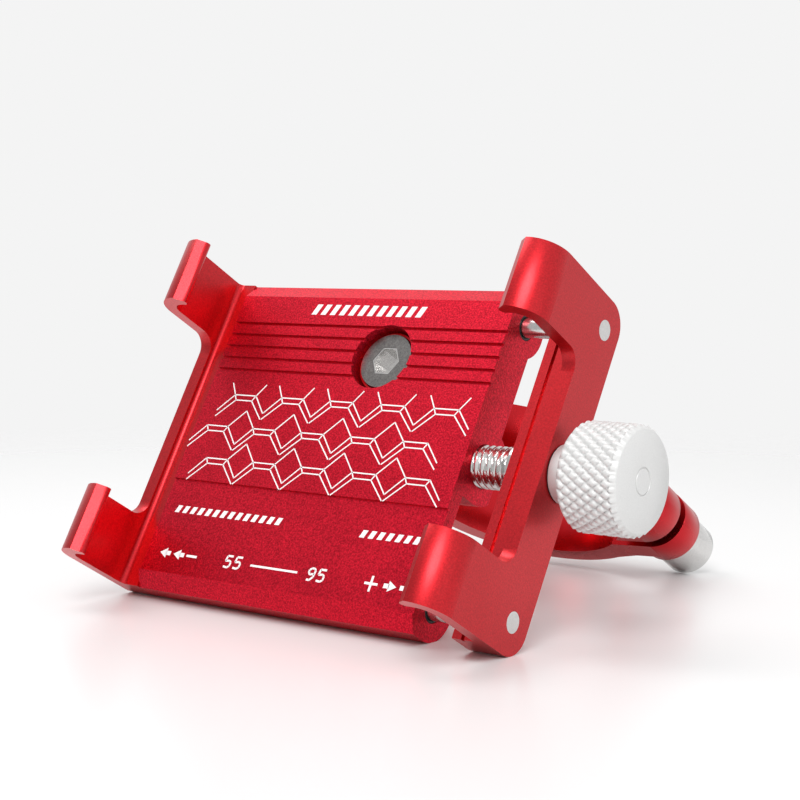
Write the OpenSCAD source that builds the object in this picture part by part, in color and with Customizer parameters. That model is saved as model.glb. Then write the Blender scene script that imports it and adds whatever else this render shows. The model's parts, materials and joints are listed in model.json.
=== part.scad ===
// Phone mount for a handlebar.
// A deck carries a fixed claw bar on its left and a sliding jaw on its right. A knurled thumb
// screw draws the jaw along two guide rods. Behind the deck, a swivel carries a hinged ring clamp.
// Origin: the middle of the handlebar bore. +Z points out of the deck's face, +X is the jaw's
// opening direction, and the bar lies along Y, turned by the clamp's own resting angle.

/* [Deck] */
// Width of the deck along the jaw's travel
deck_w = 50; // [45:1:60]
// Height of the deck, claws included
deck_h = 50; // [46:1:60]
// Height of the deck's face above the middle of the bar
deck_rise = 42.9; // [41:0.1:55]
// Thickness of the thin part of the deck
skin_t = 2.3; // [1.8:0.1:3]
// Thickness of the deck around the swivel
web_t = 6.5; // [6:0.1:7]

/* [Claws] */
// Length of each claw along the edge
claw_l = 10; // [7:0.5:12]
// Height of the claws above the deck's face
claw_h = 12.8; // [10:0.1:16]
// Thickness of the claws
claw_t = 2.05; // [1.8:0.05:3]
// Outer radius of the bend at the top of each claw
hook_r = 4.4; // [3.5:0.1:5]
// Straight length of the hook's lip beyond its bend
lip_l = 1.4; // [1:0.1:3]
// Radius at the foot of each claw
claw_fillet = 2.5; // [1:0.5:4]

/* [Jaw and thumb screw] */
// Thickness of the jaw along its travel
jaw_t = 5.4; // [5:0.1:7]
// Gap between deck and jaw as drawn
jaw_gap = 7; // [5:0.5:30]
// Widest phone that the open jaw takes
grip_max = 95; // [90:1:100]
// Distance from the deck's long edges to the guide rods
rod_inset = 4.3; // [4:0.1:6]
// Diameter of the guide rods
rod_d = 2.8; // [2.4:0.1:3]
// Outer diameter of the thumb screw's thread
lead_d = 5.9; // [5:0.1:6.1]
// Diameter over the knurling
knob_d = 14.4; // [12:0.1:16]
// Length of the knurled grip
knob_l = 8.6; // [7:0.1:14]

/* [Handlebar clamp] */
// Diameter of the handlebar
bar_d = 31.8; // [28:0.1:33]
// Thickness of the ring's wall
ring_t = 3.6; // [3:0.1:4.5]
// Width of the ring along the bar
ring_w = 9.8; // [9.4:0.1:12]
// Resting angle of the clamp about the swivel
clamp_turn = 3; // [-45:1:45]
// Distance from the swivel's axis to the clamp bolt
bolt_x = 17.7; // [17.5:0.1:20]
// Depth of the slit's lower face below the middle of the bar
slit_depth = 11.6; // [10:0.1:13]
// Width of the slit between the lugs
slit_w = 1.9; // [1.5:0.1:2.5]
// Thickness of each lug
lug_t = 5.4; // [5:0.1:7]

/* [Hidden] */
$fn = 64;

// Clearances: a running fit, a press fit, and open air between moving faces
run = 0.05;
press = 0.01;
air = 0.4;
// A little extra length for cutting tools
over = 1;

anodised = [0.78, 0.08, 0.10];
silver = [0.80, 0.80, 0.82];
steel = [0.55, 0.55, 0.57];
black = [0.06, 0.06, 0.06];

// Swivel's place on the deck: from the left end, and above the thumb screw
half_h = deck_h / 2;
rod_offset = half_h - rod_inset;
swivel_x = 30.2;
swivel_y = 13.35;

// Front edge chamfers, across and down
chamfer_y = 2.4;
chamfer_z = 1.5;

// Guide rods and thumb screw lie at these depths behind the deck's face
rod_z = -4;
lead_z = -4.7;
boss_r = half_h - rod_offset;
lead_boss_r = lead_d / 2 + 2.4;
back_z = rod_z - boss_r;

// Grip grooves across the top of the face
groove_n = 5;
groove_pitch = 1.96;
groove_y0 = 9.8;
groove_w = 0.5;
groove_h = 0.4;
// The lower strip of the face is a step down from the patterned band
step_y = -8.1;
step_h = 0.3;

// Swivel stack, from the face downwards
recess_r = 5;
recess_h = 4.1;
head_r = 4.2;
head_h = 2.4;
head_top = -1.3;
cup_h = 2.3;
cup_step = 0.8;
shank_r = 2.5;
spot_r = 5.6;
washer_r = spot_r - 0.6;
washer_t = 0.5;
neck_top = -web_t - washer_t;
neck_shoulder = back_z - air - 0.3;
flange_low = deck_rise + neck_shoulder - 2;
// How far the swivel screw goes into the neck
screw_in = 9;

// Hooks: the lip's end is thinner than its root
lip_r = 0.65;
// Fixed claw bar: its outer face, its back and the sunk floor beside the deck
bar_x = -5.1;
bar_back = -8;
floor_z = -1;
foot_r = 0.8;
// Top of both bars between their claws
mid_z = -0.1;

// Jaw
jaw_x = deck_w + jaw_gap;
jaw_out = jaw_x + jaw_t;
jaw_back = -7.7;
ledge_w = 1.9;
ledge_groove = 0.5;
// Travel from the drawn place: until the retaining ring meets the deck, and fully open
ring_l = 1;
ring_gap = 0.1;
travel_in = jaw_gap - ring_l - ring_gap - 0.05;
travel_out = grip_max - (jaw_out - bar_x - 2 * claw_t);

// Guide rods and their bushes
bush_r = rod_d / 2 + 0.4;
bush_l = 7;
rod_tip = deck_w - bush_l + 2 - travel_out;
bore_end = rod_tip - travel_in - 1;

// Thumb screw
lead_tip = deck_w - 8 - travel_out;
lead_bore_end = lead_tip - travel_in - 1;
seat_t = 0.6;
collar_r = lead_d / 2 + 0.95;
seat_r = collar_r - 0.1;
collar_l = 3.2;
ring_r = collar_r;
knob_chamfer = 0.65;
end_disc_r = 1.7;
end_disc_h = 0.15;
neck_r = lead_d / 2 - 0.45;

// Claw bar screws
bar_screw_r = 1.5;
bar_head_r = 2.9;
bar_head_h = 1.8;
bar_screw_in = 4.5;

// Ring clamp, in its own frame: bar along Y, lug towards +X
bore_r = bar_d / 2;
ring_out = bore_r + ring_t;
half_w = ring_w / 2;
slit_top = slit_w - slit_depth;
lug_foot = -slit_depth - lug_t;
lug_root = 9.5;
web_x = 9;
web_step = 4.4;
web_low = lug_foot + 1.2;
hinge_angle = 131;
hinge_at = bore_r + ring_t + 0.6;
hinge_x = hinge_at * cos(hinge_angle);
hinge_z = hinge_at * sin(hinge_angle);
knuckle_r = 3;
knuckle_w = 4.1;
pin_r = 1.25;
neck_half = 5;
bolt_r = 1.9;
bolt_hole_r = 2.9;
bolt_head_r = 4.25;
bolt_head_h = 6.4;
bolt_washer_r = 4.5;
bolt_washer_t = 0.5;
insert_r = 2.9;
insert_bore_r = bolt_r + 0.5;
insert_l = 2.6;
hex_r = 2.4;
hex_h = 2.4;

// Places the deck's own frame: x from its left end, y from the thumb screw, z from its face
module on_deck() {
    translate([-swivel_x, -swivel_y, deck_rise]) children();
}

// Turns the clamp's parts to their resting angle
module on_clamp() {
    rotate([0, 0, clamp_turn]) children();
}

// Extrudes an outline drawn in Y and Z along +X, from x
module along_x(x, length) {
    translate([x, 0, 0]) rotate([90, 0, 90]) linear_extrude(length) children();
}

// Extrudes an outline drawn in X and Z along Y, centred
module along_y(length) {
    rotate([90, 0, 0]) linear_extrude(length, center = true) children();
}

// A round bar along +X
module bar_x_dir(x, y, z, r, length) {
    translate([x, y, z]) rotate([0, 90, 0]) cylinder(r = r, h = length);
}

// A block given by its low and high corners
module block(low, high) {
    translate(low) cube(high - low);
}

// ---- Deck ----

// Outline of the deck seen along X: thin at the bottom, thick around the swivel, with three bosses
module deck_outline() {
    intersection() {
        union() {
            translate([-half_h, -skin_t]) square([deck_h, 2 * skin_t]);
            for (side = [-1, 1]) {
                translate([side * rod_offset, rod_z]) circle(r = boss_r);
                translate([side * rod_offset - boss_r, rod_z]) square([2 * boss_r, deck_h]);
            }
            translate([0, lead_z]) circle(r = lead_boss_r);
            translate([-lead_boss_r, lead_z]) square([lead_boss_r, deck_h]);
            translate([0, -web_t]) square([rod_offset, deck_h]);
        }
        polygon([
            [-half_h + chamfer_y, 0], [half_h - chamfer_y, 0],
            [half_h, -chamfer_z], [half_h, back_z],
            [-half_h, back_z], [-half_h, -chamfer_z]
        ]);
    }
}

module base_plate() {
    color(anodised) on_deck() difference() {
        along_x(0, deck_w) deck_outline();
        for (i = [0 : groove_n - 1])
            block(
                [-over, groove_y0 + i * groove_pitch, -groove_h],
                [deck_w + over, groove_y0 + i * groove_pitch + groove_w, over]
            );
        block([-over, -half_h + chamfer_y, -step_h], [deck_w + over, step_y, over]);
        for (side = [-1, 1]) {
            bar_x_dir(bore_end, side * rod_offset, rod_z, rod_d / 2 + 0.3, deck_w);
            bar_x_dir(deck_w - bush_l, side * rod_offset, rod_z, bush_r + press, deck_w);
            bar_x_dir(-over, side * rod_offset, rod_z, bar_screw_r + press, bar_screw_in + over);
        }
        bar_x_dir(lead_bore_end, 0, lead_z, lead_d / 2 + run, deck_w);
        translate([swivel_x, swivel_y, -recess_h]) cylinder(r = recess_r, h = recess_h + over);
        translate([swivel_x, swivel_y, -web_t - over]) cylinder(r = shank_r + 0.3, h = web_t);
        translate([swivel_x, swivel_y, back_z - over]) cylinder(r = spot_r, h = -web_t - back_z + over);
    }
}

module rod_bush(side) {
    color(black) on_deck() difference() {
        bar_x_dir(deck_w - bush_l, side * rod_offset, rod_z, bush_r, bush_l);
        bar_x_dir(0, side * rod_offset, rod_z, rod_d / 2 + run, 2 * deck_w);
    }
}

// ---- Claws ----

// The space between the two claws of one bar, with rounded feet, drawn in Y and Z
module between_claws() {
    half = half_h - claw_l;
    translate([-half + claw_fillet, mid_z]) square([2 * (half - claw_fillet), 2 * claw_h]);
    translate([-half, mid_z + claw_fillet]) square([2 * half, 2 * claw_h]);
    for (side = [-1, 1])
        translate([side * (half - claw_fillet), mid_z + claw_fillet]) circle(r = claw_fillet);
}

// One claw drawn in X and Z, its outer face at x = 0 and its hook reaching towards +X
module claw_outline() {
    bend_z = claw_h - hook_r;
    lip_x = hook_r + lip_l - lip_r;
    translate([0, mid_z - over]) square([claw_t, bend_z - mid_z + over + 0.01]);
    difference() {
        translate([hook_r, bend_z]) circle(r = hook_r);
        translate([hook_r, bend_z]) circle(r = hook_r - claw_t);
        translate([0, bend_z - 2 * hook_r]) square([2 * hook_r, 2 * hook_r]);
        translate([hook_r, 0]) square([hook_r, 2 * claw_h]);
    }
    polygon([
        [hook_r - 0.01, claw_h], [hook_r - 0.01, claw_h - claw_t], [lip_x, claw_h - claw_t],
        [lip_x, claw_h - claw_t + lip_r], [lip_x + lip_r * cos(60), claw_h - claw_t + lip_r * (1 + sin(60))]
    ]);
    translate([lip_x, claw_h - claw_t + lip_r]) circle(r = lip_r);
}

// Both bars' outline seen along X: square at the face, round at the back
module bar_end_outline(back) {
    radius = rod_z - back;
    translate([-half_h, rod_z]) square([deck_h, claw_h - rod_z]);
    translate([-half_h + radius, back]) square([deck_h - 2 * radius, -back]);
    for (side = [-1, 1])
        translate([side * (half_h - radius), rod_z]) circle(r = radius);
}

// The floor beside the deck is sunk, with a rounded foot at the claws' inner face
module fixed_bar_outline() {
    wall_x = bar_x + claw_t;
    translate([bar_x, 0]) claw_outline();
    difference() {
        translate([bar_x, bar_back]) square([-bar_x, mid_z - bar_back]);
        translate([wall_x + foot_r, floor_z]) square([-wall_x - foot_r, 1 - floor_z]);
        translate([wall_x, floor_z + foot_r]) square([-wall_x, 1 - floor_z]);
        translate([wall_x + foot_r, floor_z + foot_r]) circle(r = foot_r);
    }
}

module fixed_claw_bar() {
    color(anodised) on_deck() difference() {
        intersection() {
            along_y(deck_h) fixed_bar_outline();
            along_x(bar_x - over, -2 * bar_x) bar_end_outline(bar_back);
        }
        along_x(bar_x - over, -3 * bar_x) between_claws();
        for (side = [-1, 1]) {
            bar_x_dir(bar_x - over, side * rod_offset, rod_z, bar_screw_r + 0.2, -2 * bar_x);
            translate([bar_x, side * rod_offset, rod_z]) rotate([0, 90, 0])
                cylinder(r1 = bar_head_r, r2 = bar_screw_r, h = bar_head_h);
        }
    }
}

module claw_bar_screws() {
    color(steel) on_deck() for (side = [-1, 1])
        translate([bar_x, side * rod_offset, rod_z]) rotate([0, 90, 0]) difference() {
            union() {
                cylinder(r1 = bar_head_r, r2 = bar_screw_r, h = bar_head_h);
                cylinder(r = bar_screw_r, h = bar_screw_in - bar_x - 0.2);
            }
            translate([0, 0, -over]) cylinder(r = 1.15, h = over + 1, $fn = 6);
        }
}

module jaw_outline() {
    translate([jaw_x, jaw_back]) square([jaw_t, mid_z - jaw_back]);
    translate([jaw_out, 0]) mirror([1, 0]) claw_outline();
}

module sliding_jaw() {
    color(anodised) on_deck() difference() {
        intersection() {
            along_y(deck_h) jaw_outline();
            along_x(jaw_x - over, jaw_t + 2 * over) bar_end_outline(jaw_back);
        }
        along_x(jaw_x - over, jaw_t + 2 * over) between_claws();
        block(
            [jaw_x + ledge_w - ledge_groove, -deck_h, mid_z - ledge_groove],
            [jaw_x + ledge_w, deck_h, mid_z + over]
        );
        for (side = [-1, 1])
            bar_x_dir(jaw_x - over, side * rod_offset, rod_z, rod_d / 2 + press, deck_w);
        bar_x_dir(jaw_x - over, 0, lead_z, lead_d / 2 + 0.3, deck_w);
        bar_x_dir(jaw_out - seat_t, 0, lead_z, seat_r + press, deck_w);
    }
}

module guide_rod(side) {
    color(silver) on_deck()
        bar_x_dir(rod_tip, side * rod_offset, rod_z, rod_d / 2, jaw_out - rod_tip);
}

// ---- Thumb screw ----

module lead_screw() {
    color(silver) on_deck() {
        bar_x_dir(lead_tip, 0, lead_z, lead_d / 2, jaw_x - ring_l - ring_gap - lead_tip);
        bar_x_dir(lead_tip, 0, lead_z, neck_r, jaw_out + collar_l + knob_l - 2 - lead_tip);
    }
}

module thumb_knob() {
    grip_x = jaw_out + collar_l;
    end_x = grip_x + knob_l;
    color(silver) on_deck() difference() {
        translate([0, 0, lead_z]) rotate([0, 90, 0]) rotate_extrude() polygon([
            [0, jaw_out + ring_gap], [collar_r, jaw_out + ring_gap], [collar_r, grip_x],
            [knob_d / 2 - knob_chamfer, grip_x], [knob_d / 2, grip_x + knob_chamfer],
            [knob_d / 2, end_x - knob_chamfer], [knob_d / 2 - knob_chamfer, end_x], [0, end_x]
        ]);
        bar_x_dir(jaw_x, 0, lead_z, neck_r + press, end_x - 2 - jaw_x);
        difference() {
            bar_x_dir(end_x - end_disc_h, 0, lead_z, end_disc_r + 0.3, over);
            bar_x_dir(jaw_x, 0, lead_z, end_disc_r, deck_w);
        }
    }
}

module thrust_washer() {
    color(black) on_deck() difference() {
        bar_x_dir(jaw_out - seat_t, 0, lead_z, seat_r, seat_t);
        bar_x_dir(jaw_x, 0, lead_z, lead_d / 2 + 0.3, deck_w);
    }
}

module retaining_ring() {
    color(silver) on_deck() difference() {
        bar_x_dir(jaw_x - ring_l - ring_gap, 0, lead_z, ring_r, ring_l);
        bar_x_dir(0, 0, lead_z, neck_r + press, 2 * deck_w);
    }
}

// ---- Swivel ----

module swivel_screw() {
    color(steel) translate([0, 0, deck_rise]) difference() {
        union() {
            translate([0, 0, head_top - head_h])
                cylinder(r1 = shank_r, r2 = head_r, h = head_h - 0.5);
            translate([0, 0, head_top - 0.5]) cylinder(r = head_r, h = 0.5);
            translate([0, 0, neck_top - screw_in])
                cylinder(r = shank_r, h = screw_in - neck_top + head_top - head_h);
        }
        translate([0, 0, head_top - hex_h]) cylinder(r = hex_r, h = hex_h + over, $fn = 6);
    }
}

module cup_washer() {
    color(anodised) translate([0, 0, deck_rise]) difference() {
        union() {
            translate([0, 0, -recess_h + run]) cylinder(r = recess_r - 0.25, h = cup_h - cup_step);
            translate([0, 0, -recess_h + run]) cylinder(r = head_r + 0.45, h = cup_h);
        }
        translate([0, 0, head_top - head_h]) cylinder(r1 = shank_r + 0.2, r2 = head_r + 0.2, h = head_h - 0.5);
        translate([0, 0, head_top - 0.51]) cylinder(r = head_r + 0.1, h = over);
        translate([0, 0, -recess_h - over]) cylinder(r = shank_r + 0.1, h = 2 * over);
    }
}

module friction_washer() {
    color(black) translate([0, 0, deck_rise - web_t - washer_t]) difference() {
        cylinder(r = washer_r, h = washer_t - run);
        translate([0, 0, -over]) cylinder(r = shank_r + 0.1, h = washer_t + 2 * over);
    }
}

// ---- Ring clamp ----

module ring_outline() {
    difference() {
        circle(r = ring_out);
        circle(r = bore_r);
    }
}

// The part of the plane above the slit on the bolt's side, and above the hinge line on the other
module upper_side(gap) {
    reach = 2 * ring_out;
    polygon([
        [0, slit_top], [reach, slit_top], [reach, reach], [-gap, reach],
        [reach * cos(hinge_angle) + gap, reach * sin(hinge_angle)], [gap, 0]
    ]);
}

// One lug with a round end, from its lower face upwards
module lug(z) {
    difference() {
        translate([0, 0, z]) linear_extrude(lug_t) union() {
            translate([bolt_x, 0]) circle(r = half_w);
            translate([lug_root, -half_w]) square([bolt_x - lug_root, ring_w]);
        }
        along_y(2 * ring_w) circle(r = bore_r);
    }
}

// A hinge knuckle centred on the hinge's axis, between two places along the bar
module knuckle(y0, y1, radius) {
    translate([hinge_x, y1, hinge_z]) rotate([90, 0, 0]) cylinder(r = radius, h = y1 - y0);
}

module clamp_body() {
    color(anodised) on_clamp() difference() {
        union() {
            along_y(ring_w) intersection() {
                ring_outline();
                upper_side(0.3);
            }
            lug(slit_top);
            block([-neck_half, -half_w, bore_r + 1], [neck_half, half_w, deck_rise + neck_shoulder]);
            translate([0, 0, flange_low]) cylinder(r = washer_r, h = deck_rise + neck_top - flange_low);
            knuckle(-half_w, -knuckle_w / 2, knuckle_r);
            knuckle(knuckle_w / 2, half_w, knuckle_r);
        }
        along_y(2 * ring_w) circle(r = bore_r);
        knuckle(-knuckle_w / 2 - 0.1, knuckle_w / 2 + 0.1, knuckle_r + air);
        knuckle(-ring_w, ring_w, pin_r + press);
        translate([0, 0, deck_rise + neck_top - screw_in]) cylinder(r = shank_r + press, h = 2 * screw_in);
        translate([bolt_x, 0, slit_top - over]) cylinder(r = insert_r + press, h = insert_l + over);
        translate([bolt_x, 0, slit_top]) cylinder(r = insert_bore_r, h = insert_l + 1);
    }
}

module clamp_arm() {
    color(anodised) on_clamp() difference() {
        union() {
            // Web that joins the ring to the lug, a little thinner than the lug's round end
            along_y(ring_w) polygon([
                [0, -ring_out], [web_x, 0.1 - sqrt(ring_out * ring_out - web_x * web_x)],
                [web_x + web_step, web_low], [bolt_x, web_low], [bolt_x, -slit_depth], [0, -slit_depth]
            ]);
            along_y(ring_w) difference() {
                ring_outline();
                upper_side(-0.3);
                translate([0, -slit_depth]) square([2 * ring_out, slit_w + over]);
            }
            translate([bolt_x, 0, lug_foot]) cylinder(r = half_w, h = lug_t);
            knuckle(-knuckle_w / 2, knuckle_w / 2, knuckle_r);
        }
        along_y(2 * ring_w) circle(r = bore_r);
        knuckle(-ring_w, -knuckle_w / 2, knuckle_r + air);
        knuckle(knuckle_w / 2, ring_w, knuckle_r + air);
        knuckle(-ring_w, ring_w, pin_r + run);
        translate([bolt_x, 0, lug_foot - over]) cylinder(r = bolt_hole_r, h = lug_t + 2 * over);
    }
}

module hinge_pin() {
    color(steel) on_clamp() knuckle(-half_w, half_w, pin_r);
}

module lug_insert() {
    color(steel) on_clamp() translate([bolt_x, 0, slit_top]) difference() {
        cylinder(r = insert_r, h = insert_l);
        translate([0, 0, -over]) cylinder(r = insert_bore_r, h = insert_l + 2 * over);
    }
}

module clamp_bolt() {
    color(silver) on_clamp() translate([bolt_x, 0, lug_foot - bolt_washer_t]) difference() {
        union() {
            translate([0, 0, -bolt_head_h]) cylinder(r = bolt_head_r, h = bolt_head_h);
            cylinder(r = bolt_r, h = bolt_washer_t + lug_t + slit_w + insert_l);
        }
        translate([0, 0, -bolt_head_h - over]) cylinder(r = hex_r, h = over + hex_h, $fn = 6);
    }
}

module bolt_washer() {
    color(silver) on_clamp() translate([bolt_x, 0, lug_foot - bolt_washer_t]) difference() {
        cylinder(r = bolt_washer_r, h = bolt_washer_t);
        translate([0, 0, -over]) cylinder(r = bolt_r + press, h = 2 * over);
    }
}

base_plate();
fixed_claw_bar();
claw_bar_screws();
sliding_jaw();
guide_rod(1);  // upper_guide_rod
guide_rod(-1);  // lower_guide_rod
rod_bush(1);  // upper_rod_bush
rod_bush(-1);  // lower_rod_bush
lead_screw();
thumb_knob();
thrust_washer();
retaining_ring();
swivel_screw();
cup_washer();
friction_washer();
clamp_body();
clamp_arm();
hinge_pin();
lug_insert();
clamp_bolt();
bolt_washer();
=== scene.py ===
"""A phone mount for a handlebar, dressed and lit for a studio picture.

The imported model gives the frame, the bodies and every place. The pieces that need finer shapes than
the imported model's are classes that take their places from it. Its other nodes keep their shapes and
only get a finish and eased edges.
"""

import json
import logging
import math
from dataclasses import dataclass
from enum import Enum
from typing import Callable, Sequence

import bmesh
import bpy
from mathutils import Matrix, Vector


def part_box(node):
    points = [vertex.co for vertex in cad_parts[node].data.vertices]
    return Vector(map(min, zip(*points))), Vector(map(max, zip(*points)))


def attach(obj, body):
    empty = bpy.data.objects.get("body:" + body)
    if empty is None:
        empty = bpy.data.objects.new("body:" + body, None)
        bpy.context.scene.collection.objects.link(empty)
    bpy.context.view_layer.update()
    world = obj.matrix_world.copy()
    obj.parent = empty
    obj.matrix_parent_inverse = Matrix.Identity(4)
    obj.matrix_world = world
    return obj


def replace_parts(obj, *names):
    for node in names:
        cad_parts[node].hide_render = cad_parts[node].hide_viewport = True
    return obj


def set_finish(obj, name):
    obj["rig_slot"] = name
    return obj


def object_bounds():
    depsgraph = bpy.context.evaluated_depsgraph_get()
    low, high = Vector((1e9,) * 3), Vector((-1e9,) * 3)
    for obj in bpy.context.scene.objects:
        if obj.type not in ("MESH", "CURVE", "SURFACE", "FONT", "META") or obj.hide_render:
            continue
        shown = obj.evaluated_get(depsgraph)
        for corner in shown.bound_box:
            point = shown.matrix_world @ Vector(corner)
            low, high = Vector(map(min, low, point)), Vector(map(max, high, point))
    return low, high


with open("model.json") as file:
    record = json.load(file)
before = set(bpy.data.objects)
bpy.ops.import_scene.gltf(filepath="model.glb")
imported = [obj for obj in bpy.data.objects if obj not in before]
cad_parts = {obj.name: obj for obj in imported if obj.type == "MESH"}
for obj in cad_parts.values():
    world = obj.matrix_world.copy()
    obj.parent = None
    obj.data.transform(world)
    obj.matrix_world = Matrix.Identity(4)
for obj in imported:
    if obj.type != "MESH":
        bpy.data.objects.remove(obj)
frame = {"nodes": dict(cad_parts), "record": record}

log = logging.getLogger("phone_mount")
MM = 0.001
CAD_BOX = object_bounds()
Point = tuple[float, float]


def mm(*lengths: float) -> Vector:
    """Three lengths in millimetres as a vector in metres."""
    return Vector(lengths) * MM


def middle(node: str) -> Vector:
    """The middle of a node's box."""
    low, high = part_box(node)
    return (low + high) / 2


# ---------------------------------------------------------------- finishes


def add(tree: bpy.types.NodeTree, kind: str, **settings: object) -> bpy.types.Node:
    """Adds a node and sets its properties and inputs.

    Args:
        tree: where the node goes.
        kind: Blender's name for the node type.
        settings: properties by name, or input values by socket name in lower case.

    Returns:
        The new node.
    """
    node = tree.nodes.new(kind)
    for key, value in settings.items():
        if hasattr(node, key):
            setattr(node, key, value)
        else:
            node.inputs[key.title()].default_value = value
    return node


def centred(group: bpy.types.NodeTree, source: bpy.types.NodeSocket) -> bpy.types.NodeSocket:
    """Shifts a noise value so that it varies about zero.

    Args:
        group: where the node goes.
        source: the noise, from zero to one.

    Returns:
        The shifted value.
    """
    shift = add(group, "ShaderNodeMath", operation="SUBTRACT")
    group.links.new(source, shift.inputs[0])
    shift.inputs[1].default_value = 0.5
    return shift.outputs[0]


@dataclass(frozen=True)
class Grain:
    """The fine speckle and unevenness that blasting and anodising leave on a surface.

    Attributes:
        detail: how many finer layers the noise has.
        harshness: how strong those finer layers are in the speckle.
        patches: how many broad uneven patches there are to a metre.
        relief: greatest height of the speckle's relief, in millimetres.
    """

    detail: float = 3.0
    harshness: float = 0.65
    patches: float = 90.0
    relief: float = 0.04

    def build(self) -> bpy.types.NodeTree:
        """Builds the node group that every finish shares.

        Returns:
            A group that takes the grain's size in millimetres and three strengths, and gives a
            shade, a change of roughness and a normal.
        """
        group = bpy.data.node_groups.new("Metal grain", "ShaderNodeTree")
        for label in ("Grain size", "Speckle", "Drift", "Depth"):
            group.interface.new_socket(label, in_out="INPUT", socket_type="NodeSocketFloat")
        for label in ("Shade", "Roughness shift"):
            group.interface.new_socket(label, in_out="OUTPUT", socket_type="NodeSocketFloat")
        group.interface.new_socket("Normal", in_out="OUTPUT", socket_type="NodeSocketVector")
        given = group.nodes.new("NodeGroupInput")
        result = group.nodes.new("NodeGroupOutput")
        link = group.links.new
        place = add(group, "ShaderNodeTexCoord")
        per_metre = add(group, "ShaderNodeMath", operation="DIVIDE")
        per_metre.inputs[0].default_value = 1 / MM
        link(given.outputs["Grain size"], per_metre.inputs[1])
        fine = add(group, "ShaderNodeTexNoise", detail=self.detail, roughness=self.harshness)
        link(place.outputs["Object"], fine.inputs["Vector"])
        link(per_metre.outputs[0], fine.inputs["Scale"])
        broad = add(group, "ShaderNodeTexNoise", scale=self.patches, detail=self.detail)
        link(place.outputs["Object"], broad.inputs["Vector"])
        shade = add(group, "ShaderNodeMath", operation="MULTIPLY_ADD")
        link(centred(group, fine.outputs["Fac"]), shade.inputs[0])
        link(given.outputs["Speckle"], shade.inputs[1])
        shade.inputs[2].default_value = 1.0
        link(shade.outputs[0], result.inputs["Shade"])
        drift = add(group, "ShaderNodeMath", operation="MULTIPLY")
        link(centred(group, broad.outputs["Fac"]), drift.inputs[0])
        link(given.outputs["Drift"], drift.inputs[1])
        link(drift.outputs[0], result.inputs["Roughness shift"])
        bump = add(group, "ShaderNodeBump", distance=self.relief * MM)
        link(given.outputs["Depth"], bump.inputs["Strength"])
        link(fine.outputs["Fac"], bump.inputs["Height"])
        link(bump.outputs["Normal"], result.inputs["Normal"])
        return group


@dataclass(frozen=True)
class Finish:
    """The finish of a metal, plastic or printed surface.

    Attributes:
        name: the material's name.
        colour: its base colour, linear.
        roughness: its mean roughness.
        grain: size of its speckle in millimetres.
        speckle: how far the speckle changes its shade.
        depth: strength of the speckle's relief.
        metallic: how much of it reflects as metal.
        coat: weight of the clear layer over it.
        coat_roughness: roughness of that layer.
        drift: how far its roughness varies over broad patches.
    """

    name: str
    colour: tuple[float, float, float]
    roughness: float
    grain: float
    speckle: float
    depth: float
    metallic: float = 1.0
    coat: float = 0.0
    coat_roughness: float = 0.25
    drift: float = 0.3

    def build(self, group: bpy.types.NodeTree) -> bpy.types.Material:
        """Builds the material around the shared grain.

        Args:
            group: the node group from Grain.

        Returns:
            The material.
        """
        material = bpy.data.materials.new(self.name)
        material.use_nodes = True
        tree = material.node_tree
        link = tree.links.new
        shader = tree.nodes["Principled BSDF"]
        shader.inputs["Metallic"].default_value = self.metallic
        shader.inputs["Coat Weight"].default_value = self.coat
        shader.inputs["Coat Roughness"].default_value = self.coat_roughness
        grain = tree.nodes.new("ShaderNodeGroup")
        grain.node_tree = group
        grain.inputs["Grain size"].default_value = self.grain
        grain.inputs["Speckle"].default_value = self.speckle
        grain.inputs["Drift"].default_value = self.drift
        grain.inputs["Depth"].default_value = self.depth
        tint = add(tree, "ShaderNodeMix", data_type="RGBA", blend_type="MULTIPLY", factor=1.0)
        tint.inputs["A"].default_value = (*self.colour, 1.0)
        link(grain.outputs["Shade"], tint.inputs["B"])
        link(tint.outputs["Result"], shader.inputs["Base Color"])
        rough = add(tree, "ShaderNodeMath", operation="ADD", use_clamp=True)
        link(grain.outputs["Roughness shift"], rough.inputs[0])
        rough.inputs[1].default_value = self.roughness
        link(rough.outputs[0], shader.inputs["Roughness"])
        link(grain.outputs["Normal"], shader.inputs["Normal"])
        return material


RED = (0.54, 0.014, 0.021)
DEEP_RED = (0.60, 0.013, 0.032)
PALE_SILVER = (0.68, 0.68, 0.675)
STEEL = (0.66, 0.65, 0.64)
DARK_STEEL = (0.19, 0.185, 0.18)
BLACK = (0.02, 0.02, 0.02)
OFF_WHITE = (0.84, 0.82, 0.82)

FINISHES = {
    "red_deck": Finish("Blasted red", DEEP_RED, 0.42, grain=0.24, speckle=2.4, depth=0.8),
    "red_bar": Finish("Satin red", RED, 0.40, grain=0.24, speckle=1.0, depth=0.3, coat=0.35),
    "red_clamp": Finish("Polished red", RED, 0.28, grain=0.2, speckle=0.4, depth=0.1, coat=0.15),
    "silver_knob": Finish(
        "Clear anodised", PALE_SILVER, 0.48, grain=0.15, speckle=0.2, depth=0.05, metallic=0.25
    ),
    # In the swivel screw's socket this finish is a painted highlight on the walls and floor.
    "bright_steel": Finish("Bright steel and painted socket highlight", STEEL, 0.18, grain=0.4, speckle=0.3, depth=0.03),
    "dull_steel": Finish("Dull steel", DARK_STEEL, 0.34, grain=0.25, speckle=1.6, depth=0.3),
    # The thin black bushes in the guide rods' bores take this finish. They are sized to match the dark line of
    # shade in the gap round each rod, so they paint that shade.
    "black_nylon": Finish("Black nylon and painted gap shade", BLACK, 0.5, grain=0.3, speckle=0.2, depth=0.1, metallic=0.0),
    "white_ink": Finish("White ink", OFF_WHITE, 0.6, grain=0.3, speckle=0.3, depth=0.1, metallic=0.0),
}


# ---------------------------------------------------------------- shapes


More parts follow.
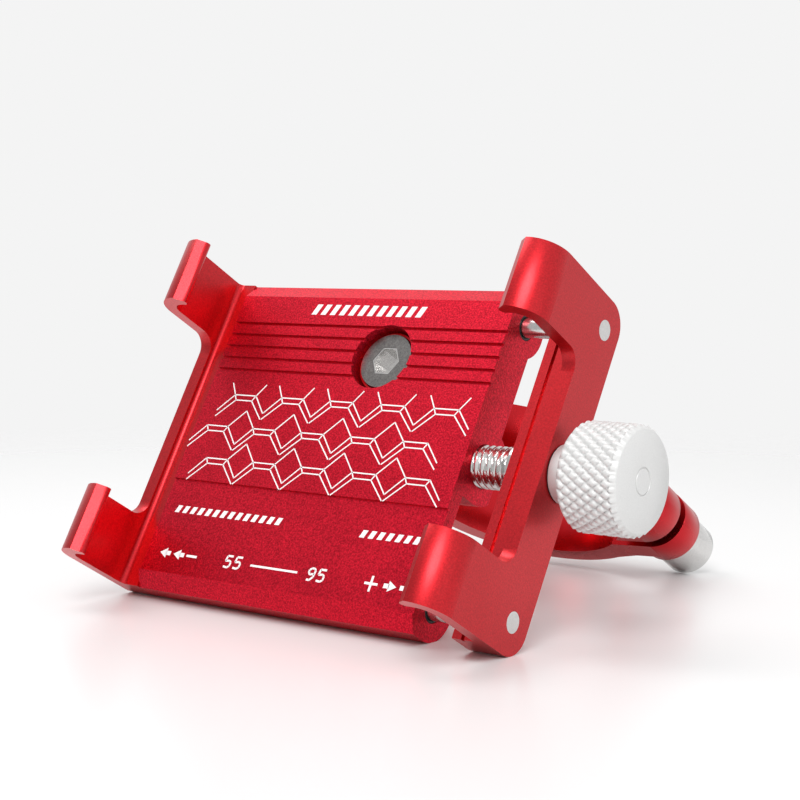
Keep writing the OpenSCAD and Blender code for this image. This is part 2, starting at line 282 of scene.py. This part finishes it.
def finished(bm: bmesh.types.BMesh, name: str, sharp: float = 38.0) -> bpy.types.Object:
    """Turns a finished bmesh into a shaded object at the origin.

    Args:
        bm: the piece's faces, in the row frame; it is freed.
        name: the new object's name.
        sharp: the angle in degrees above which an edge stays crisp.

    Returns:
        The linked object.
    """
    bmesh.ops.recalc_face_normals(bm, faces=bm.faces)
    mesh = bpy.data.meshes.new(name)
    bm.to_mesh(mesh)
    bm.free()
    mesh.shade_smooth()
    mesh.set_sharp_from_angle(angle=math.radians(sharp))
    return linked(name, mesh)


def linked(name: str, data: bpy.types.ID) -> bpy.types.Object:
    """Puts a mesh, light or camera into the scene.

    Args:
        name: the new object's name.
        data: the mesh, light or camera.

    Returns:
        The object that shows it.
    """
    item = bpy.data.objects.new(name, data)
    bpy.context.scene.collection.objects.link(item)
    return item


def skin(bm: bmesh.types.BMesh, loops: Sequence[Sequence[bmesh.types.BMVert]]) -> None:
    """Joins loops of corners one after another and closes both ends.

    Args:
        bm: where the faces go.
        loops: the corners of each loop, the same number in each.
    """
    for near, far in zip(loops, loops[1:]):
        for i in range(len(near)):
            k = (i + 1) % len(near)
            bm.faces.new((near[i], near[k], far[k], far[i]))
    bm.faces.new(loops[0])
    bm.faces.new(loops[-1])


def turned(
    axis: Vector, rings: Sequence[Point], around: int, cut: Callable[[float, float], float]
) -> bmesh.types.BMesh:
    """Makes a shape turned about a line along x, with a pattern cut into its widest rings.

    Args:
        axis: a point on the line.
        rings: each ring's x and radius in metres, in order along the surface.
        around: how many corners each ring has.
        cut: the pattern's depth in metres at an x and an angle.

    Returns:
        The shape's faces.
    """
    bm = bmesh.new()
    widest = max(radius for _, radius in rings)
    loops = []
    for x, radius in rings:
        loop = []
        for i in range(around):
            angle = 2 * math.pi * i / around
            reach = radius - cut(x, angle) if radius == widest else radius
            y = axis.y + reach * math.cos(angle)
            z = axis.z + reach * math.sin(angle)
            loop.append(bm.verts.new((x, y, z)))
        loops.append(loop)
    skin(bm, loops)
    return bm


def wave(t: float) -> float:
    """A triangle wave that is one at whole numbers and zero half way between."""
    return 1.0 - 2.0 * abs(t - round(t))


def spaced(start: float, stop: float, step: float) -> list[float]:
    """Even places from start to stop, both included, about a step apart."""
    count = round((stop - start) / step)
    return [start + (stop - start) * i / count for i in range(count + 1)]


@dataclass(frozen=True)
class ThumbKnob:
    """The knurled knob that turns the lead screw, with its sizes in millimetres.

    Attributes:
        collar_l: length of the plain collar next to the jaw.
        collar_r: radius of that collar.
        collar_edge: size of the chamfer on that collar.
        bore_r: radius of the hole for the screw's neck.
        bore_end: how far behind the end face that hole stops.
        chamfer: size of the chamfers at both ends of the grip.
        rim: how far behind the end face its rim starts to round off.
        rim_start: how far in from the grip the rim starts, as a share of the chamfer.
        rim_end: how far in from the grip it ends, as a share of the chamfer.
        circle: outline of the circle cut into the end face, as depths and radii.
        pole_r: radius of the rings that close the surface on the axis.
        columns: how many diamonds go round the grip.
        per_column: how many corners the grip has to each diamond round it.
        pitch: length of each diamond along the grip.
        per_pitch: how many rings the grip has to each diamond along it.
        depth: depth of the knurl.
        fullness: how far the diamonds are widened, above one, until their tops are flat.
        sharp: the angle in degrees above which an edge stays crisp.
    """

    collar_l: float = 3.1
    collar_r: float = 3.9
    collar_edge: float = 0.15
    bore_r: float = 2.52
    bore_end: float = 2.0
    chamfer: float = 0.65
    rim: float = 0.06
    rim_start: float = 0.9
    rim_end: float = 1.02
    circle: tuple[Point, ...] = ((0.0, 1.86), (0.14, 1.8), (0.14, 1.7), (0.0, 1.62))
    pole_r: float = 0.02
    columns: int = 32
    per_column: int = 10
    pitch: float = 1.9
    per_pitch: int = 14
    depth: float = 0.5
    fullness: float = 1.15
    sharp: float = 60.0

    def cut(self, along: float, angle: float) -> float:
        """Gives the knurl's depth at a place on the grip.

        Args:
            along: distance from the start of the grip, in metres.
            angle: the angle round the knob, in radians.

        Returns:
            The depth in metres.
        """
        steps = along / (self.pitch * MM)
        turn = self.columns * angle / (2 * math.pi)
        rising = math.sin(wave(turn + steps) * math.pi / 2)
        falling = math.sin(wave(turn - steps) * math.pi / 2)
        return self.depth * MM * (1.0 - min(1.0, self.fullness * math.sqrt(rising * falling)))

    def build(self) -> bpy.types.Object:
        """Makes the knob from its bore to the circle on its end face.

        Returns:
            The piece.
        """
        low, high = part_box("thumb_knob")
        full = (high.z - low.z) / 2
        edge = self.chamfer * MM
        grip, end = low.x + self.collar_l * MM, high.x
        bore_end = end - self.bore_end * MM
        first, last = grip + edge, end - edge
        rings = [(bore_end, self.pole_r * MM), (bore_end, self.bore_r * MM), (low.x, self.bore_r * MM)]
        rings += [(low.x, (self.collar_r - self.collar_edge) * MM)]
        rings += [(low.x + self.collar_edge * MM, self.collar_r * MM), (grip, self.collar_r * MM)]
        rings += [(grip, full - edge)]
        rings += [(x, full) for x in spaced(first, last, self.pitch * MM / self.per_pitch)]
        rings += [(end - self.rim * MM, full - edge * self.rim_start), (end, full - edge * self.rim_end)]
        rings += [(end - depth * MM, radius * MM) for depth, radius in self.circle]
        rings += [(end, self.pole_r * MM)]
        around = self.columns * self.per_column
        bm = turned(middle("thumb_knob"), rings, around, lambda x, angle: self.cut(x - first, angle))
        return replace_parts(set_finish(finished(bm, "knurled_knob", self.sharp), "silver_knob"), "thumb_knob")


@dataclass(frozen=True)
class LeadScrew:
    """The threaded screw that draws the jaw in, with its sizes in millimetres.

    Attributes:
        pitch: the thread's pitch.
        per_pitch: how many rings the thread has to each turn.
        around: how many corners each ring has.
        depth: the thread's depth.
        fullness: how far the crests are widened, above one, until their tops are flat.
        lead_in: length of the plain cone at the screw's hidden end.
        gap: space between the screw's shoulder and the retaining ring.
        relief: length of the plain stretch between the thread and the shoulder.
        run_out: length over which the thread ends.
        neck_r: radius of the plain neck.
    """

    pitch: float = 1.0
    per_pitch: int = 10
    around: int = 64
    depth: float = 0.42
    fullness: float = 1.35
    lead_in: float = 0.6
    gap: float = 0.1
    relief: float = 0.7
    run_out: float = 0.25
    neck_r: float = 2.5

    def cut(self, x: float, angle: float) -> float:
        """Gives the thread's depth at a place on the screw.

        Args:
            x: where it is along the screw, in metres.
            angle: the angle round the screw, in radians.

        Returns:
            The depth in metres.
        """
        crest = wave(x / (self.pitch * MM) - angle / (2 * math.pi))
        return self.depth * MM * (1.0 - min(1.0, self.fullness * crest))

    def build(self) -> bpy.types.Object:
        """Makes the thread, its run-out and the neck that holds the knob.

        Returns:
            The piece.
        """
        low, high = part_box("lead_screw")
        full = (high.z - low.z) / 2
        root = full - self.depth * MM
        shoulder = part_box("retaining_ring")[0].x - self.gap * MM
        start, stop = low.x + self.lead_in * MM, shoulder - self.relief * MM
        rings = [(low.x, root)]
        rings += [(x, full) for x in spaced(start, stop, self.pitch * MM / self.per_pitch)]
        rings += [(stop + self.run_out * MM, root), (shoulder, root)]
        rings += [(shoulder, self.neck_r * MM), (high.x, self.neck_r * MM)]
        bm = turned(middle("lead_screw"), rings, self.around, self.cut)
        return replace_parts(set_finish(finished(bm, "threaded_screw"), "bright_steel"), "lead_screw")


@dataclass(frozen=True)
class SocketHighlight:
    """The bright walls and floor of the hexagonal socket in the swivel screw, in millimetres.

    Attributes:
        reach: distance from the middle to a corner.
        wall: thickness of the layer that carries the painted highlight.
        depth: depth of the socket.
        inset: how far the layer's rim lies below the screw's head.
        base: thickness of the layer under the socket's floor.
        drill: how far the drilled hollow in the floor reaches, as a share of the socket.
        tip: how far the bottom of that hollow reaches, as a share of the socket.
        tip_depth: depth of that hollow.
        easing: width of the bevel on its edges.
        crisp: the angle in degrees above which an edge gets that bevel.
    """

    reach: float = 2.36
    wall: float = 0.2
    depth: float = 1.8
    inset: float = 0.05
    base: float = 0.3
    drill: float = 0.72
    tip: float = 0.1
    tip_depth: float = 0.25
    easing: float = 0.04
    crisp: float = 50.0

    def build(self) -> bpy.types.Object:
        """Makes the highlight's layer, with the hollow that the drill left in its floor.

        Returns:
            The piece.
        """
        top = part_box("swivel_screw")[1].z - self.inset * MM
        floor = top - self.depth * MM
        outer, inner = self.reach * MM, (self.reach - self.wall) * MM
        levels = [(floor - self.base * MM, outer), (top, outer), (top, inner), (floor, inner)]
        levels += [(floor, inner * self.drill), (floor - self.tip_depth * MM, inner * self.tip)]
        corners = [math.radians(60 * i) for i in range(6)]
        bm = bmesh.new()
        loops = []
        for z, r in levels:
            loops.append([bm.verts.new((r * math.cos(a), r * math.sin(a), z)) for a in corners])
        skin(bm, loops)
        edges = [e for e in bm.edges if e.calc_face_angle(0.0) > math.radians(self.crisp)]
        width = self.easing * MM
        bmesh.ops.bevel(bm, geom=edges, offset=width, segments=1, profile=0.5, affect="EDGES", material=-1)
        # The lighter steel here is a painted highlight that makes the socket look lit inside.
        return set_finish(finished(bm, "painted_socket_highlight"), "bright_steel")


class Way(Enum):
    """Which way an arrow points along x."""

    OUT_LEFT = -1
    OUT_RIGHT = 1


@dataclass(frozen=True)
class BarRow:
    """A row of plain slanted bars, with its sizes in millimetres.

    Attributes:
        left: where the first bar starts, from the deck's left end.
        foot: where the bars stand, from the thumb screw.
        count: how many bars there are.
        height: how tall they are.
        pitch: distance from one to the next.
        fill: width of a bar as a share of the pitch.
        lean: how far a bar leans as a share of its height.
    """

    left: float
    foot: float
    count: int
    height: float
    pitch: float
    fill: float = 0.55
    lean: float = 0.4

    def outlines(self) -> list[list[Point]]:
        """Gives every bar's corners in order.

        Returns:
            One outline for each bar.
        """
        foot, top = self.foot, self.foot + self.height
        lean, width = self.lean * self.height, self.fill * self.pitch
        starts = [self.left + i * self.pitch for i in range(self.count)]
        return [[(x, foot), (x + width, foot), (x + width + lean, top), (x + lean, top)] for x in starts]


# Strokes of the numbers on the size scale, on a grid one wide and two high
FIVE = ((1.0, 2.0), (0.05, 2.0), (0.0, 1.1), (0.7, 1.2), (1.0, 0.9), (1.0, 0.3), (0.7, 0.0), (0.0, 0.1))
NINE_BOWL = ((1.0, 1.1), (0.3, 0.95), (0.0, 1.3), (0.0, 1.7), (0.3, 2.0), (0.7, 2.0), (1.0, 1.7))
NINE = (*NINE_BOWL, (1.0, 0.6), (0.6, 0.0), (0.1, 0.05))


@dataclass
class DeckMarks:
    """The pale printed lines and marks on the deck's face, in millimetres.

    Every place is measured from the deck's left end and from the thumb screw.

    Attributes:
        thickness: how far the ink stands off the face.
        sunk: how far it reaches into the face.
        step: how far the lower strip lies below the face.
        strip: where the lower strip starts.
        fine: width of the pattern's lines.
        cell: width of one cell of the pattern.
        row: distance between its rows.
        first: where its first bar starts.
        shifts: how far each row starts to the right of the first.
        columns: how many cells each row has.
        bar: length of a cell's bar as a share of the cell.
        drop: height of a cell's legs as a share of the row's distance.
        inset: how far the inner line of a bar stops short at each end.
        gap: distance between the two lines of a bar.
        leg_inset: how far the inner line of a leg stops short of its end.
        leg_gap: distance between the two lines of a leg at its foot.
        ear: width and height of the strokes above the first row.
        bar_rows: the rows of slanted bars.
        scale: where the size scale's middle lies.
        figures: the scale's numbers, each with its left edge.
        figure_foot: how far the numbers reach below the scale's middle.
        figure_size: width of a number, and half its height.
        figure_slant: how far a number leans for each half of its height.
        dash: where the line between the numbers starts and ends.
        bold: width of the lines of the numbers and of that line.
        heavy: width of the lines of the plus and minus signs.
        minus: where the minus sign starts and ends.
        plus: the middle of the plus sign and half its size.
        arrows: each arrow's tip and which way it points.
        head: length of an arrow's head, and half its width.
        tail: where an arrow's tail starts and ends behind its tip.
        tail_width: width of that tail.
    """

    thickness: float = 0.03
    sunk: float = 0.01
    step: float = 0.3
    strip: float = -8.1
    fine: float = 0.18
    cell: float = 9.2
    row: float = 5.2
    first: Point = (5.7, 5.9)
    shifts: tuple[float, ...] = (0.0, -3.2, -0.8)
    columns: int = 5
    bar: float = 0.45
    drop: float = 0.52
    inset: float = 0.5
    gap: float = 0.85
    leg_inset: float = 0.1
    leg_gap: float = 0.95
    ear: Point = (1.3, 1.9)
    bar_rows: tuple[BarRow, ...] = (
        BarRow(14.5, 19.7, 12, 1.7, 1.75),
        BarRow(2.4, -13.3, 14, 1.1, 1.5),
        BarRow(37.2, -13.5, 7, 1.1, 1.5),
    )
    scale: float = -19.6
    figures: tuple[tuple[float, tuple[Point, ...]], ...] = (
        (15.5, FIVE),
        (17.3, FIVE),
        (30.8, NINE),
        (32.6, FIVE),
    )
    figure_foot: float = 0.8
    figure_size: Point = (1.05, 0.85)
    figure_slant: float = 0.12
    dash: Point = (20.4, 29.0)
    bold: float = 0.3
    heavy: float = 0.35
    minus: Point = (8.0, 10.0)
    plus: Point = (41.8, 1.1)
    arrows: tuple[tuple[float, Way], ...] = (
        (2.7, Way.OUT_LEFT),
        (5.4, Way.OUT_LEFT),
        (46.0, Way.OUT_RIGHT),
        (48.7, Way.OUT_RIGHT),
    )
    head: Point = (1.3, 0.75)
    tail: Point = (1.2, 2.1)
    tail_width: float = 0.65

    def __post_init__(self) -> None:
        """Starts the piece and finds where its places are measured from."""
        low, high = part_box("base_plate")
        self.origin = Vector((low.x, middle("lead_screw").y, high.z))
        self.bm = bmesh.new()

    def patch(self, corners: Sequence[Point]) -> None:
        """Prints one filled outline.

        Args:
            corners: its corners in order.
        """
        lowered = sum(y for _, y in corners) / len(corners) < self.strip
        face = self.origin.z - (self.step * MM if lowered else 0.0)
        rims = []
        for level in (face - self.sunk * MM, face + self.thickness * MM):
            places = [(self.origin.x + x * MM, self.origin.y + y * MM, level) for x, y in corners]
            rims.append([self.bm.verts.new(place) for place in places])
        skin(self.bm, rims)

    def stroke(self, start: Point, end: Point, width: float) -> None:
        """Prints one straight line.

        Args:
            start: where it starts.
            end: where it ends.
            width: its width.
        """
        dx, dy = end[0] - start[0], end[1] - start[1]
        out = width / 2 / math.hypot(dx, dy)
        across = (-dy * out, dx * out)
        sides = ((start, -1), (end, -1), (end, 1), (start, 1))
        self.patch([(x + way * across[0], y + way * across[1]) for (x, y), way in sides])

    def level(self, span: Point, width: float) -> None:
        """Prints a line along the middle of the size scale."""
        self.stroke((span[0], self.scale), (span[1], self.scale), width)

    def cells(self) -> None:
        """Prints the rows of double lines and the diamonds between them."""
        bar = self.bar * self.cell
        drop = self.drop * self.row
        reach = (self.cell - bar) / 2
        for r, shift in enumerate(self.shifts):
            y = self.first[1] - r * self.row
            for i in range(self.columns):
                x = self.first[0] + shift + i * self.cell
                inner = y - self.gap
                self.stroke((x, y), (x + bar, y), self.fine)
                self.stroke((x + self.inset, inner), (x + bar - self.inset, inner), self.fine)
                for end, way in ((x, -1), (x + bar, 1)):
                    turn = (end - way * self.inset, inner)
                    foot = (end + way * reach, y - drop)
                    self.stroke((end, y), turn, self.fine)
                    self.stroke((end, y), foot, self.fine)
                    self.stroke(turn, (foot[0] - way * self.leg_inset, foot[1] - self.leg_gap), self.fine)
                    if r == 0:
                        self.stroke((end, y), (end + way * self.ear[0], y + self.ear[1]), self.fine)
                if r > 0 and i < self.columns - 1:
                    peak = (x + bar + reach, y + drop)
                    self.stroke((x + bar, y), peak, self.fine)
                    self.stroke(peak, (x + self.cell, y), self.fine)

    def number(self, left: float, strokes: Sequence[Point]) -> None:
        """Prints one number of the size scale.

        Args:
            left: its left edge.
            strokes: its strokes' ends on their grid, in order.
        """
        width, half = self.figure_size
        foot = self.scale - self.figure_foot
        points = [(left + width * (a + self.figure_slant * b), foot + half * b) for a, b in strokes]
        for start, end in zip(points, points[1:]):
            self.stroke(start, end, self.bold)

    def signs(self) -> None:
        """Prints the minus sign and the plus sign."""
        x, half = self.plus
        self.level(self.minus, self.heavy)
        self.level((x - half, x + half), self.heavy)
        for way in (-1, 1):
            near, far = self.scale + way * self.heavy / 2, self.scale + way * half
            self.stroke((x, near), (x, far), self.heavy)

    def arrow(self, tip: float, way: Way) -> None:
        """Prints one arrow.

        Args:
            tip: where its tip is.
            way: which way it points.
        """
        length, half = self.head
        back = tip - way.value * length
        self.patch([(tip, self.scale), (back, self.scale + half), (back, self.scale - half)])
        start, end = self.tail
        self.level((tip - way.value * start, tip - way.value * end), self.tail_width)

    def build(self) -> bpy.types.Object:
        """Prints every mark.

        Returns:
            The piece.
        """
        self.cells()
        for row in self.bar_rows:
            for outline in row.outlines():
                self.patch(outline)
        for left, strokes in self.figures:
            self.number(left, strokes)
        self.level(self.dash, self.bold)
        self.signs()
        for tip, way in self.arrows:
            self.arrow(tip, way)
        return finished(self.bm, "deck_marks")


# ---------------------------------------------------------------- stage


def facing(place: Vector, up: Vector) -> Matrix:
    """The matrix of something at a place whose own z points along a direction."""
    return Matrix.Translation(place) @ up.to_track_quat("Z", "Y").to_matrix().to_4x4()


@dataclass(frozen=True)
class Camera:
    """The camera that takes the picture, with its places and sizes in millimetres.

    Attributes:
        place: where it stands.
        aim: the point on the deck's face that it looks at.
        up: the direction that is up in the picture.
        focal: the lens's focal length.
        sensor: the sensor's width.
        nearest: the closest that something can be and still be seen.
    """

    place: tuple[float, float, float] = (150.52, -83.66, 211.62)
    aim: tuple[float, float, float] = (6.05, -6.54, 42.9)
    up: tuple[float, float, float] = (-0.0521, 0.8906, 0.4517)
    focal: float = 77.09
    sensor: float = 36.0
    nearest: float = 10.0

    def build(self) -> None:
        """Makes the camera and sets it as the scene's."""
        data = bpy.data.cameras.new("camera")
        data.lens = self.focal
        data.sensor_width = self.sensor
        data.clip_start = self.nearest * MM
        camera = linked("camera", data)
        place = mm(*self.place)
        back = (place - mm(*self.aim)).normalized()
        right = Vector(self.up).cross(back).normalized()
        turn = Matrix((right, back.cross(right), back)).transposed()
        camera.matrix_world = Matrix.Translation(place) @ turn.to_4x4()
        bpy.context.scene.camera = camera


@dataclass(frozen=True)
class Table:
    """The pale surface that the mount rests on: the back of the jaw and the clamp bolt touch it.

    Attributes:
        half: half the width of the surface in metres.
        clear_from: distance from the middle at which the surface starts to fade, in metres.
        clear_to: distance at which it has faded into the surround, in metres.
        gap: space left under the mount, in millimetres.
        halvings: how many times the search for the tilt halves its range.
        colour: the surface's colour, linear.
        roughness: the surface's roughness.
    """

    half: float = 1.0
    clear_from: float = 0.06
    clear_to: float = 0.30
    gap: float = 0.01
    halvings: int = 40
    colour: tuple[float, float, float] = (0.79, 0.79, 0.79)
    roughness: float = 0.30

    def lowest(self, node: str, up: Vector) -> float:
        """How low a CAD node reaches along a direction."""
        return min(up.dot(v.co) for v in frame["nodes"][node].data.vertices)

    def up(self) -> Vector:
        """Tilts the table until both supports touch it.

        Returns:
            The direction square to the table.
        """
        low, high = 0.0, math.pi / 2
        for _ in range(self.halvings):
            tilt = (low + high) / 2
            up = Vector((0.0, math.cos(tilt), math.sin(tilt)))
            if self.lowest("clamp_bolt", up) < self.lowest("sliding_jaw", up):
                high = tilt
            else:
                low = tilt
        return up

    def build(self) -> None:
        """Makes the surface."""
        up = self.up()
        log.info("table tilted to %s", tuple(round(c, 4) for c in up))
        bm = bmesh.new()
        bmesh.ops.create_grid(bm, x_segments=1, y_segments=1, size=self.half)
        mesh = bpy.data.meshes.new("table")
        bm.to_mesh(mesh)
        bm.free()
        table = linked("table", mesh)
        table.matrix_world = facing(up * (self.lowest("clamp_bolt", up) - self.gap * MM), up)
        mesh.materials.append(self.material())

    def material(self) -> bpy.types.Material:
        """Makes a pale, slightly glossy surface that fades outwards and is clear from below.

        Returns:
            The material.
        """
        material = bpy.data.materials.new("Table")
        material.use_nodes = True
        tree = material.node_tree
        link = tree.links.new
        shader = tree.nodes["Principled BSDF"]
        shader.inputs["Base Color"].default_value = (*self.colour, 1.0)
        shader.inputs["Roughness"].default_value = self.roughness
        place = add(tree, "ShaderNodeTexCoord")
        far = add(tree, "ShaderNodeVectorMath", operation="LENGTH")
        link(place.outputs["Object"], far.inputs[0])
        fade = add(tree, "ShaderNodeMapRange", interpolation_type="SMOOTHSTEP")
        fade.inputs["From Min"].default_value = self.clear_from
        fade.inputs["From Max"].default_value = self.clear_to
        link(far.outputs["Value"], fade.inputs["Value"])
        side = add(tree, "ShaderNodeNewGeometry")
        hidden = add(tree, "ShaderNodeMath", operation="MAXIMUM")
        link(fade.outputs["Result"], hidden.inputs[0])
        link(side.outputs["Backfacing"], hidden.inputs[1])
        clear = add(tree, "ShaderNodeBsdfTransparent")
        mix = add(tree, "ShaderNodeMixShader")
        link(hidden.outputs[0], mix.inputs[0])
        link(shader.outputs[0], mix.inputs[1])
        link(clear.outputs[0], mix.inputs[2])
        link(mix.outputs[0], tree.nodes["Material Output"].inputs["Surface"])
        return material


@dataclass(frozen=True)
class Lamp:
    """A round soft light that shines at the mount.

    Attributes:
        name: the light's name.
        direction: where it stands, as seen from the mount.
        size: its width in metres.
        power: its power in watts.
        away: its distance from the mount in metres.
    """

    name: str
    direction: tuple[float, float, float]
    size: float
    power: float
    away: float = 0.6

    def build(self) -> None:
        """Makes the light."""
        data = bpy.data.lights.new(self.name, "AREA")
        data.shape = "DISK"
        data.size = self.size
        data.energy = self.power
        direction = Vector(self.direction).normalized()
        centre = (CAD_BOX[0] + CAD_BOX[1]) / 2
        linked(self.name, data).matrix_world = facing(centre + direction * self.away, direction)


@dataclass(frozen=True)
class Studio:
    """Soft lights and a pale surround that darkens towards one side, so that metal shows its shape.

    Attributes:
        level: brightness of the surround where it is palest.
        shade: brightness of its darkest part.
        dark_side: the direction in which it is darkest.
        shade_from: how closely a direction agrees with that one where the shade starts.
        shade_to: how closely it agrees where the shade is full.
        lamps: the lights.
    """

    level: float = 0.905
    shade: float = 0.58
    dark_side: tuple[float, float, float] = (-0.55, -0.2, 0.8)
    shade_from: float = 0.15
    shade_to: float = 0.95
    lamps: tuple[Lamp, ...] = (
        Lamp("back", (-0.6, 0.85, 0.6), 0.35, 1.05),
        Lamp("key", (0.37, 0.25, 0.89), 0.30, 1.9),
        Lamp("fill", (0.9, 0.1, 0.3), 0.3, 0.06),
    )

    def surround(self) -> bpy.types.World:
        """Makes the surround.

        Returns:
            The world.
        """
        world = bpy.data.worlds.new("surround")
        world.use_nodes = True
        tree = world.node_tree
        link = tree.links.new
        place = add(tree, "ShaderNodeTexCoord")
        agreement = add(tree, "ShaderNodeVectorMath", operation="DOT_PRODUCT")
        agreement.inputs[1].default_value = Vector(self.dark_side).normalized()
        link(place.outputs["Generated"], agreement.inputs[0])
        level = add(tree, "ShaderNodeMapRange", interpolation_type="SMOOTHSTEP")
        level.inputs["From Min"].default_value = self.shade_from
        level.inputs["From Max"].default_value = self.shade_to
        level.inputs["To Min"].default_value = self.level
        level.inputs["To Max"].default_value = self.shade
        link(agreement.outputs["Value"], level.inputs["Value"])
        link(level.outputs["Result"], tree.nodes["Background"].inputs["Color"])
        return world

    def build(self) -> None:
        """Makes the surround and the lights."""
        bpy.context.scene.world = self.surround()
        for lamp in self.lamps:
            lamp.build()


# ---------------------------------------------------------------- assembly


def paint(item: bpy.types.Object, material: bpy.types.Material) -> None:
    """Gives an object one material in every slot.

    Args:
        item: the object.
        material: the material.
    """
    if not item.data.materials:
        item.data.materials.append(material)
    for slot in item.material_slots:
        slot.material = material


@dataclass(frozen=True)
class CadDress:
    """Gives the CAD nodes their finishes and eases their edges.

    Attributes:
        materials: the materials by slot.
        weld: how close corners are when they are joined, in millimetres.
        easing: width of the rounding on sharp edges, in millimetres.
        segments: how many faces that rounding has.
        crisp: the angle in degrees above which an edge is rounded.
    """

    materials: dict[str, bpy.types.Material]
    weld: float = 0.005
    easing: float = 0.18
    segments: int = 2
    crisp: float = 35.0

    def build(self) -> None:
        """Dresses every node of the record."""
        for part in frame["record"]["subparts"]:
            item = frame["nodes"][part["node"]]
            paint(item, self.materials[part["material_slot"]])
            weld = item.modifiers.new("weld", "WELD")
            weld.merge_threshold = self.weld * MM
            bevel = item.modifiers.new("bevel", "BEVEL")
            bevel.width = self.easing * MM
            bevel.segments = self.segments
            bevel.limit_method = "ANGLE"
            bevel.angle_limit = math.radians(self.crisp)
            bevel.use_clamp_overlap = True
            log.info("%s has %s", part["node"], part["material_slot"])


PIECES = (
    (ThumbKnob, "thumb_screw"),
    (LeadScrew, "thumb_screw"),
    (DeckMarks, "deck"),
    (SocketHighlight, "clamp"),
)


def main() -> None:
    """Builds the stage, the finishes and the pieces."""
    bpy.context.scene.view_settings.view_transform = "Standard"
    Camera().build()
    Table().build()
    Studio().build()
    grain = Grain().build()
    materials = {slot: finish.build(grain) for slot, finish in FINISHES.items()}
    CadDress(materials).build()
    for builder, body in PIECES:
        piece = builder().build()
        paint(piece, materials[piece.get("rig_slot", "white_ink")])
        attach(piece, body)
        log.info("%s rides %s", piece.name, body)


if __name__ == "__main__":
    logging.basicConfig(level=logging.INFO)
    main()
